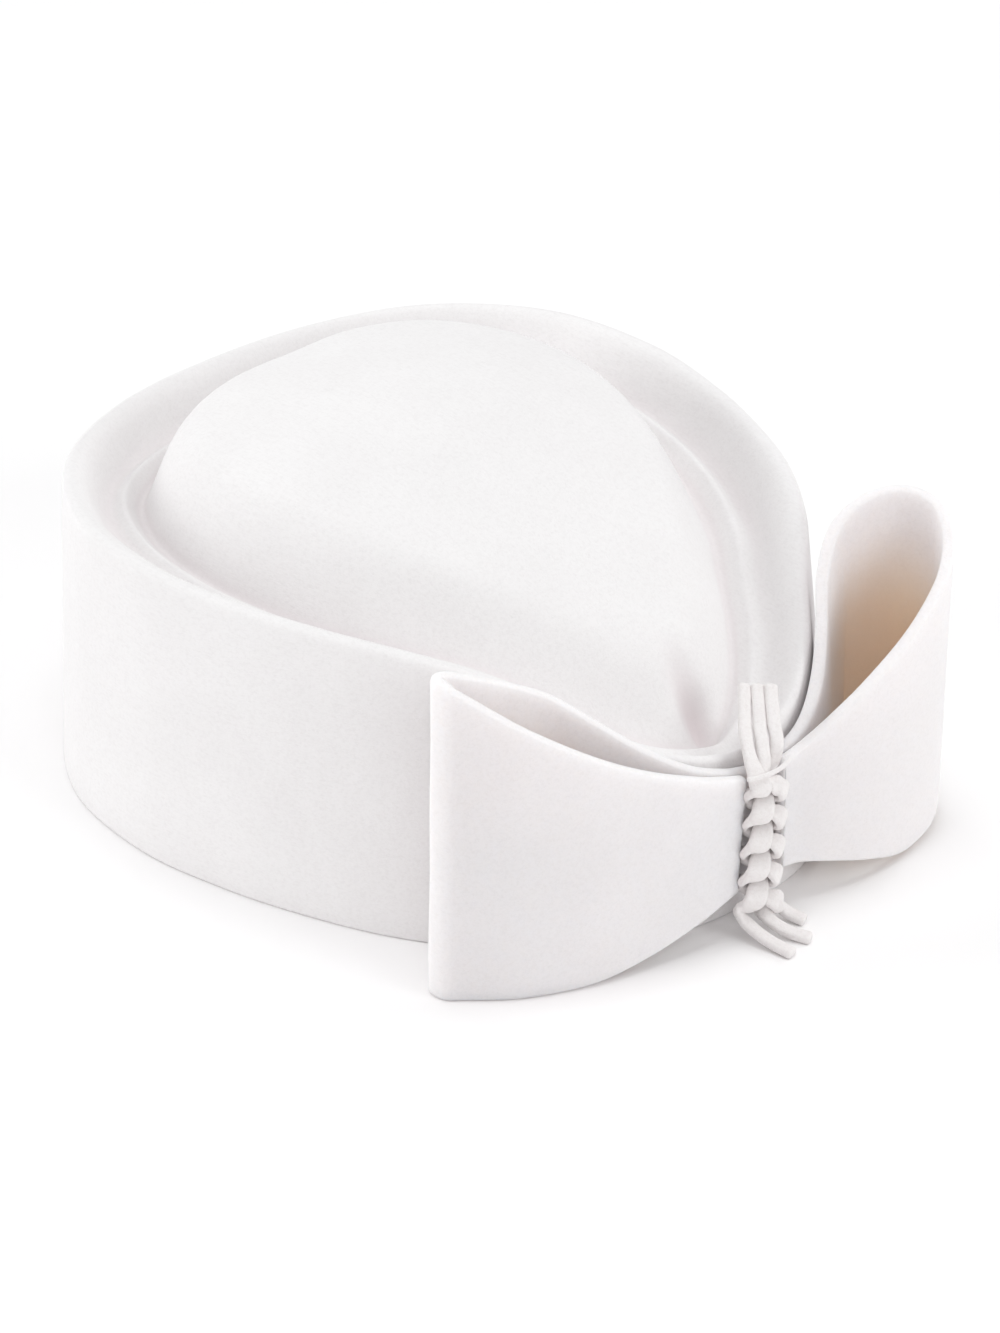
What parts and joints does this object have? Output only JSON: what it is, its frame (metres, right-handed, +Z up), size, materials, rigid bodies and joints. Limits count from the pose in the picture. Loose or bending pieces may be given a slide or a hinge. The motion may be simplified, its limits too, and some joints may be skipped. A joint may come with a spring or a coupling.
{
  "type": "pillbox hat",
  "caption": "Blocked felt pillbox hat with a domed crown in a rolled rim that dips at the front, a flat felt bow with open loops and a plaited strand down its middle.",
  "frame": {"origin": "bottom centre of everything built, on the surface that the hat stands on", "axes": "+Z up, front of the hat with the bow towards -Y, the wearer's left towards +X"},
  "size_m": [0.175, 0.2206, 0.092],
  "materials": {
    "hat_body": "matt brushed wool felt, off-white",
    "bow_left_loop": "matt flat wool felt, off-white",
    "bow_right_loop": "matt flat wool felt, off-white",
    "braid_strand_1": "cut felt strip, off-white",
    "braid_strand_2": "cut felt strip, off-white",
    "braid_strand_3": "cut felt strip, off-white",
    "bow_binding_strand": "thin felt strand, off-white"
  },
  "bodies": {
    "root": {"hat_body": "hat_body", "bow_left_loop": "bow_left_loop", "bow_right_loop": "bow_right_loop", "braid_strand_1": "braid_strand_1", "braid_strand_2": "braid_strand_2", "braid_strand_3": "braid_strand_3", "bow_binding_strand": "bow_binding_strand"}
  },
  "joints": []
}
